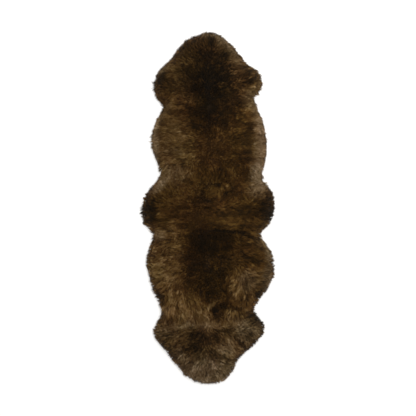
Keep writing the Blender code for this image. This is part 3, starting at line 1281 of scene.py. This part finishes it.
# Each piece's strands have a seed of their own: the crown's, and from it the two flanks'.
STRAND_SEEDS = {Pelt.UPPER: 40, Pelt.LOWER: 60}
FLANK_SEED_STEP = 5
# One strand's triangles as point numbers: 0 is its root, 1 to 3 go round its belly, 4 is its tip.
STRAND_FACES = np.array(((0, 2, 1), (1, 2, 4), (0, 3, 2), (2, 3, 4), (0, 1, 3), (3, 1, 4)))
# Where its belly's three points lie from the middle, as shares of its half width and half height.
BELLY_RING = ((-1, -0.3), (0, 0.8), (1, -0.3))


@dataclass(frozen=True)
class Scatter:
    """How unlike each other locks and strands are, which keeps the wool from looking drawn by rule.

    Turns and leans are in radians or shares of a lean, and pairs are ranges around 1. Combed and
    calmed are how much smooth wool evens out its ways and its shades.
    """

    shake: float = 0.22
    tuft_turn: float = 1.15
    tuft_turn_flat: float = 0.75
    lock_turn: float = 0.14
    lock_lean: float = 0.06
    strand_lean: float = 0.05
    combed: float = 0.8
    calmed: float = 0.6
    lock_length: tuple[float, float] = (0.8, 1.2)
    strand_length: tuple[float, float] = (0.86, 1.1)
    strand_width: tuple[float, float] = (0.75, 1.25)
    proud: float = 1.6 * MM
    bend: float = 0.15
    roll: float = 0.45
    droop: float = 0.9


@dataclass
class Locks:
    """The locks of one piece: where each grows, its tuft, how it lies, how smooth it is and how grown."""

    places: Places
    tuft: np.ndarray
    lie: np.ndarray
    smooth: np.ndarray
    growth: np.ndarray
    flat: np.ndarray = field(init=False)

    def __post_init__(self) -> None:
        """Notes how flat each lock lies before it is tousled."""
        self.flat = np.linalg.norm(self.lie, axis=1)


@dataclass
class Staples:
    """Staples of long wool: locks of tapering, three-sided strands whose tips draw together.

    Within the skirt, each strand droops by its own share where it passes over the rim, so that the
    rim is wool nearly down to the floor. Ragged_reach is in millimetres, as a ragged spot's reach
    is, and the pairs named rise are a gain and what is taken off after it. Parting_fall is the
    parting's share where the wool is upright, and how much less it is where the wool lies flat.
    """

    name: str
    pelt: Pelt
    stand: Stand
    grooming: Grooming
    fleece: Fleece
    tufts: Tufts
    seed: int
    side: int = 0
    belly: float = 0.55
    belly_rise: float = 0.74
    lowest: float = 1.2 * MM
    rim_inset: float = 8 * MM
    skirt: float = 34 * MM
    spread: float = 0.62
    parting: float = 0.12
    lying_from: float = 0.62
    streak_gain: float = 0.5
    tuft_shade: float = 0.075
    cloud_shade: float = 0.06
    lock_shade: float = 0.11
    strand_shade: float = 0.085
    painted_furrow_shade: float = 0.11
    painted_rim_shade: float = 0.09
    rim_shade_reach: float = 14 * MM
    furrow_width: float = 4 * MM
    shade_at: float = 0.6
    streak_steps: int = 9
    streak_rise: tuple[float, float] = (1.8, 0.35)
    streak_least: float = 0.15
    parting_fall: tuple[float, float] = (1.2, 0.8)
    ragged_from: float = 0.15
    ragged_reach: float = 18
    stray_rise: tuple[float, float] = (1.8, 0.55)
    rim_goal: float = 0.2 * MM
    rim_scatter: float = 3 * MM
    shortest: float = 0.2
    upright: float = 0.05
    scatter: Scatter = Scatter()

    def build(self) -> bpy.types.Object:
        """Builds every strand of the piece as one mesh.

        Returns:
            The staples' piece.
        """
        chance = np.random.default_rng(self.seed)
        locks = self.grown_locks(np.random.default_rng(LOCK_PATTERN))
        self.tousle(locks, chance)
        tone, grey = self.shades(locks, chance)
        owner, centres = self.strand_centres(locks, chance)
        mesh = self.spindles(centres, chance)
        self.paint(mesh, tone[owner] + chance.normal(0, self.strand_shade, len(owner)), grey[owner])
        self.lay_out(mesh, len(owner))
        piece = place_piece(self.name, mesh, BrushedWool().material())
        return piece

    def grown_locks(self, chance: np.random.Generator) -> Locks:
        """Spreads the piece's locks over its part of the pelt, and reads how each one lies.

        Args:
            chance: The source of the locks' places.

        Returns:
            The locks.
        """
        low = self.fleece.corner
        high = low + self.fleece.pitch * np.array(self.fleece.top.shape)
        places = even_places(low, high, self.grooming.spacing, self.scatter.shake, chance)
        inset = self.fleece.sample(self.fleece.inset, places)
        keep = (inset > self.rim_inset) & (places[:, 1] * self.pelt.towards_neck > 0)
        keep &= places[:, 0] * self.side >= 0
        places = places[keep]
        lie, smooth, growth = self.fleece.lie_at(places)
        lying = np.linalg.norm(lie, axis=1) >= self.lying_from
        keep = lying if self.stand is Stand.LYING else ~lying
        places = places[keep]
        return Locks(places, self.tufts.owner_of(places), lie[keep], smooth[keep], growth[keep])

    def tousle(self, locks: Locks, chance: np.random.Generator) -> None:
        """Turns the locks off the way they were combed: with their tuft, and a little each by itself.

        Args:
            locks: The piece's locks, whose lie is changed.
            chance: The source of each lock's own turn.
        """
        scatter = self.scatter
        swirl = self.tufts.swirl[locks.tuft] * (scatter.tuft_turn - scatter.tuft_turn_flat * locks.flat)
        for noise_layer, by in SWIRLS:
            swirl += by * noise_layer.at(locks.places)
        swirl += chance.normal(0, scatter.lock_turn, len(swirl))
        swirl *= (1 - scatter.combed * locks.smooth) * self.grooming.tousled
        locks.lie = turned(locks.lie, swirl) + chance.normal(0, scatter.lock_lean, locks.lie.shape)

    def shades(self, locks: Locks, chance: np.random.Generator) -> tuple[np.ndarray, np.ndarray]:
        """How light and how grey each lock is, read where the lock's upper half lies.

        Args:
            locks: The piece's locks.
            chance: The source of each lock's own shade.

        Returns:
            The tone and the greyness of each lock.
        """
        tone, grey = self.fleece.look_at(locks.places + self.shade_at * self.grooming.length * locks.lie)
        tone = BASE_TONE + TONE_GAIN * tone + self.streaks(locks)
        varied = self.grooming.contrast * (1 - self.scatter.calmed * locks.smooth)
        tone += varied * self.tuft_shade * self.tufts.tone[locks.tuft]
        tone += varied * self.lock_shade * chance.normal(0, 1, len(tone))
        tone += self.cloud_shade * CLOUDS.at(locks.places)
        # Painted shade in the seam's furrow.
        tone -= self.painted_furrow_shade * peak(locks.places[:, 1], SEAM_FURROW, self.furrow_width)
        # Painted shade along the rim, where the wool droops over the edge.
        inset = np.maximum(self.fleece.sample(self.fleece.inset, locks.places), 0)
        tone -= self.painted_rim_shade * np.exp(-inset / self.rim_shade_reach)
        return tone, grey

    def streaks(self, locks: Locks) -> np.ndarray:
        """What long streaks along the way the wool was combed add to each lock's tone.

        Args:
            locks: The piece's locks.

        Returns:
            The change of each lock's tone.
        """
        flat = np.linalg.norm(locks.lie, axis=1)
        way = locks.lie / np.maximum(flat, TINY)[:, None]
        total = np.zeros(len(flat))
        steps = np.linspace(-1, 1, self.streak_steps)
        for grain, reach in STREAKS:
            total += sum(grain.at(locks.places + way * reach * step) for step in steps)
        gain, less = self.streak_rise
        return self.streak_gain * total / len(steps) * np.clip(flat * gain - less, self.streak_least, 1)

    def strand_centres(self, locks: Locks, chance: np.random.Generator) -> tuple[np.ndarray, np.ndarray]:
        """Lays out the strands of every lock.

        Args:
            locks: The piece's locks.
            chance: The source of the strands' differences.

        Returns:
            The number of each strand's lock, and the middles of its root, belly and tip.
        """
        scatter = self.scatter
        count = len(locks.places)
        length = self.grooming.length * locks.growth * chance.uniform(*scatter.lock_length, count)
        proud = chance.normal(0, scatter.proud, count) + scatter.proud * self.tufts.proud[locks.tuft]
        bend = chance.normal(0, scatter.bend, count)
        most, less = self.parting_fall
        parted = self.parting * (most - less * locks.flat)
        drawn = (self.tufts.middles[locks.tuft] - locks.places) * parted[:, None]
        owner = np.repeat(np.arange(count), self.grooming.strands)
        total = len(owner)
        turn = chance.uniform(0, 2 * math.pi, total)
        off = np.sqrt(chance.uniform(0, 1, total)) * self.spread * self.grooming.spacing
        offset = np.stack((np.cos(turn), np.sin(turn)), axis=-1) * off[:, None]
        lie = locks.lie[owner] + chance.normal(0, scatter.strand_lean, (total, 2))
        roots = locks.places[owner] + offset
        reach = length[owner] * chance.uniform(*scatter.strand_length, total)
        reach = self.held_in(roots, lie, reach, chance)
        across = turned(lie, np.full(total, math.pi / 2))
        droop = chance.uniform(0, scatter.droop, total)
        gather = self.grooming.gather * (1 - scatter.calmed * locks.smooth[owner])[:, None]
        centres = []
        for t, rise in ((0.0, 0.0), (self.belly, self.belly_rise), (1.0, 1.0)):
            plan = roots + t * (drawn[owner] - offset * gather + lie * reach[:, None])
            plan += across * (bend[owner] * reach * math.sin(math.pi * t))[:, None]
            top = self.fleece.sample(self.fleece.top, plan)
            at_rim = np.clip(1 - self.fleece.sample(self.fleece.inset, plan) / self.skirt, 0, 1)
            z = (0.5 * top * (1 + rise) + proud[owner] * t) * (1 - t * at_rim * droop)
            centres.append(np.column_stack((plan, np.maximum(z, self.lowest))))
        return owner, np.stack(centres, axis=1)

    def held_in(
        self, roots: Places, lie: np.ndarray, reach: np.ndarray, chance: np.random.Generator
    ) -> np.ndarray:
        """Shortens the strands that would reach out past the rug's rim, which in truth hang down there.

        Args:
            roots: Where the strands start.
            lie: Their plan direction and lean.
            reach: Their length.
            chance: The source of the rim's unevenness.

        Returns:
            The strands' lengths, held in.
        """
        ragged = np.maximum(RAGGED_RIM.at(roots) - self.ragged_from, 0) ** 2 * self.ragged_reach * MM
        gain, less = self.stray_rise
        stray = np.clip(STRAY_TIPS.at(roots) * gain - less, 0, 1)
        for spot in RAGGED_SPOTS:
            ragged = ragged + bump_weight(roots, spot) * stray * spot.reach * MM
        goal = chance.normal(self.rim_goal, self.rim_scatter, len(roots)) - ragged
        at_root = self.fleece.sample(self.fleece.inset, roots)
        at_tip = self.fleece.sample(self.fleece.inset, roots + lie * reach[:, None])
        share = (at_root - goal) / np.maximum(at_root - at_tip, TINY)
        return reach * np.where(at_tip < goal, np.clip(share, self.shortest, 1.0), 1.0)

    def spindles(self, centres: np.ndarray, chance: np.random.Generator) -> bpy.types.Mesh:
        """Makes a closed three-sided strand, pointed at both ends, through each row of centres.

        Args:
            centres: The middles of each strand's root, belly and tip.
            chance: The source of the strands' widths and turns.

        Returns:
            The mesh of all strands.
        """
        total = len(centres)
        half = (self.grooming.width / 2 * chance.uniform(*self.scatter.strand_width, total))[:, None]
        roll = chance.normal(0, self.scatter.roll, (total, 1))
        tangent = centres[:, 2] - centres[:, 0]
        tangent /= np.maximum(np.linalg.norm(tangent, axis=1, keepdims=True), TINY)
        side = np.cross(tangent, (0.0, 0.0, 1.0))
        flat = np.linalg.norm(side, axis=1, keepdims=True)
        side = np.where(flat > self.upright, side / np.maximum(flat, TINY), (1.0, 0.0, 0.0))
        up = np.cross(side, tangent)
        wide = (side * np.cos(roll) + up * np.sin(roll)) * half
        tall = (up * np.cos(roll) - side * np.sin(roll)) * half
        root, belly, tip = centres.transpose(1, 0, 2)
        ring = [belly + across * wide + up_share * tall for across, up_share in BELLY_RING]
        points = np.stack((root, *ring, tip), axis=1)
        corners = (STRAND_FACES[None] + points.shape[1] * np.arange(total)[:, None, None]).reshape(-1)
        mesh = bpy.data.meshes.new(self.name)
        mesh.vertices.add(points.shape[1] * total)
        mesh.vertices.foreach_set("co", points.astype(np.float32).ravel())
        mesh.loops.add(len(corners))
        mesh.loops.foreach_set("vertex_index", corners.astype(np.int32))
        mesh.polygons.add(len(corners) // 3)
        mesh.polygons.foreach_set("loop_start", np.arange(0, len(corners), 3, dtype=np.int32))
        mesh.update(calc_edges=True)
        mesh.shade_smooth()
        return mesh

    def paint(self, mesh: bpy.types.Mesh, tone: np.ndarray, grey: np.ndarray) -> None:
        """Stores each strand's tone and greyness, and how far along the strand each point lies.

        Args:
            mesh: The mesh of all strands.
            tone: Each strand's tone.
            grey: Each strand's greyness.
        """
        along = np.array([0.0, self.belly, self.belly, self.belly, 1.0])
        store(mesh, "tone", np.repeat(np.clip(tone, 0, 1), len(along)))
        store(mesh, "grey", np.repeat(grey, len(along)))
        store(mesh, "along", np.tile(along, len(tone)))

    def lay_out(self, mesh: bpy.types.Mesh, total: int) -> None:
        """Gives each strand its own small cell of a UV map, its three sides next to each other.

        Args:
            mesh: The mesh of all strands.
            total: The number of strands.
        """
        lefts, width, foot, head = (0.06, 0.36, 0.66), 0.24, 0.06, 0.94
        across = math.ceil(math.sqrt(total))
        template = []
        for left in lefts:
            middle, right = left + width / 2, left + width
            template += [(middle, foot), (right, self.belly), (left, self.belly)]
            template += [(left, self.belly), (right, self.belly), (middle, head)]
        index = np.arange(total)
        origin = np.stack((index % across, index // across), axis=-1)
        uv = (origin[:, None, :] + np.array(template)[None]) / across
        mesh.uv_layers.new(name="OFBake").data.foreach_set("uv", uv.astype(np.float32).ravel())


@dataclass
class FurrierSeam:
    """The overhand seam along the two rumps: one thread wound round both hides' edges."""

    half_length: float = 318 * MM
    pitch: float = 4 * MM
    half_width: float = 2.6 * MM
    lowest: float = 0.45 * MM
    highest: float = 4.4 * MM
    thread: float = 0.35 * MM
    steps: int = 8

    def build(self) -> bpy.types.Object:
        """Builds the thread.

        Returns:
            The seam's piece.
        """
        turns = round(2 * self.half_length / self.pitch)
        curve = bpy.data.curves.new("furrier_seam", "CURVE")
        curve.dimensions = "3D"
        curve.bevel_depth = self.thread
        curve.bevel_resolution = 1
        spline = curve.splines.new("POLY")
        spline.points.add(turns * self.steps)
        middle, reach = (self.lowest + self.highest) / 2, (self.highest - self.lowest) / 2
        for k, point in enumerate(spline.points):
            turn = 2 * math.pi * k / self.steps
            x = -self.half_length + self.pitch * k / self.steps
            point.co = (x, self.half_width * math.cos(turn), middle + reach * math.sin(turn), 1)
        maker = bpy.data.objects.new("maker", curve)
        bpy.context.scene.collection.objects.link(maker)
        mesh = bpy.data.meshes.new_from_object(maker.evaluated_get(bpy.context.evaluated_depsgraph_get()))
        bpy.data.objects.remove(maker)
        mesh.shade_smooth()
        return place_piece("furrier_seam", mesh, WaxedThread().material())


@dataclass
class Studio:
    """A light table, soft light from all round but most from the upper right, and the camera overhead."""

    floor_size: float = 14.0
    floor_gap: float = 0.2 * MM
    camera_height: float = 5.03
    lens: float = 85.0
    far: float = 50.0
    sky: float = 0.78
    key_power: float = 60.0
    key_size: float = 2.8
    key_place: tuple[float, float, float] = (1.4, 1.2, 2.9)

    def build(self) -> None:
        """Builds the floor, the lights and the camera."""
        scene = bpy.context.scene
        bm = bmesh.new()
        bmesh.ops.create_grid(bm, x_segments=1, y_segments=1, size=self.floor_size / 2)
        mesh = bpy.data.meshes.new("studio_floor")
        bm.to_mesh(mesh)
        bm.free()
        mesh.materials.append(LitAcrylic().material())
        floor = bpy.data.objects.new("studio_floor", mesh)
        floor.location.z = -self.floor_gap
        scene.collection.objects.link(floor)
        world = bpy.data.worlds.new("studio_air")
        world.use_nodes = True
        background = world.node_tree.nodes["Background"]
        background.inputs["Color"].default_value = (1.0, 1.0, 1.0, 1.0)
        background.inputs["Strength"].default_value = self.sky
        scene.world = world
        self.soft_box("key_softbox", Vector(self.key_place), self.key_size, self.key_power)
        data = bpy.data.cameras.new("camera")
        data.lens = self.lens
        data.clip_end = self.far
        camera = bpy.data.objects.new("camera", data)
        camera.location = (0.0, 0.0, self.camera_height)
        scene.collection.objects.link(camera)
        scene.camera = camera
        scene.view_settings.view_transform = "Standard"
        scene.view_settings.look = "None"

    @staticmethod
    def soft_box(name: str, place: Vector, size: float, power: float) -> None:
        """Adds a square soft light that faces the middle of the rug.

        Args:
            name: The light's name.
            place: Where it hangs.
            size: The length of its side.
            power: Its power in watts.
        """
        data = bpy.data.lights.new(name, "AREA")
        data.size = size
        data.energy = power
        light = bpy.data.objects.new(name, data)
        light.location = place
        light.rotation_euler = (-place).to_track_quat("-Z", "Y").to_euler()
        bpy.context.scene.collection.objects.link(light)


def main() -> None:
    """Builds the rug and its studio."""
    logging.basicConfig(level=logging.INFO, format="%(message)s")
    Studio().build()
    fleece = Fleece()
    tufts = Tufts(fleece)
    for pelt, seed in STRAND_SEEDS.items():
        Hide(pelt, fleece).build()
        Underwool(pelt, fleece).build()
        name = f"{pelt.value}_{Stand.UPRIGHT.value}_staples"
        Staples(name, pelt, Stand.UPRIGHT, CROWN, fleece, tufts, seed).build()
        for side, word in ((-1, "left"), (1, "right")):
            name = f"{pelt.value}_{word}_{Stand.LYING.value}_staples"
            flank_seed = seed + FLANK_SEED_STEP + side
            Staples(name, pelt, Stand.LYING, FLANKS[pelt], fleece, tufts, flank_seed, side).build()
    FurrierSeam().build()


if __name__ == "__main__":
    main()
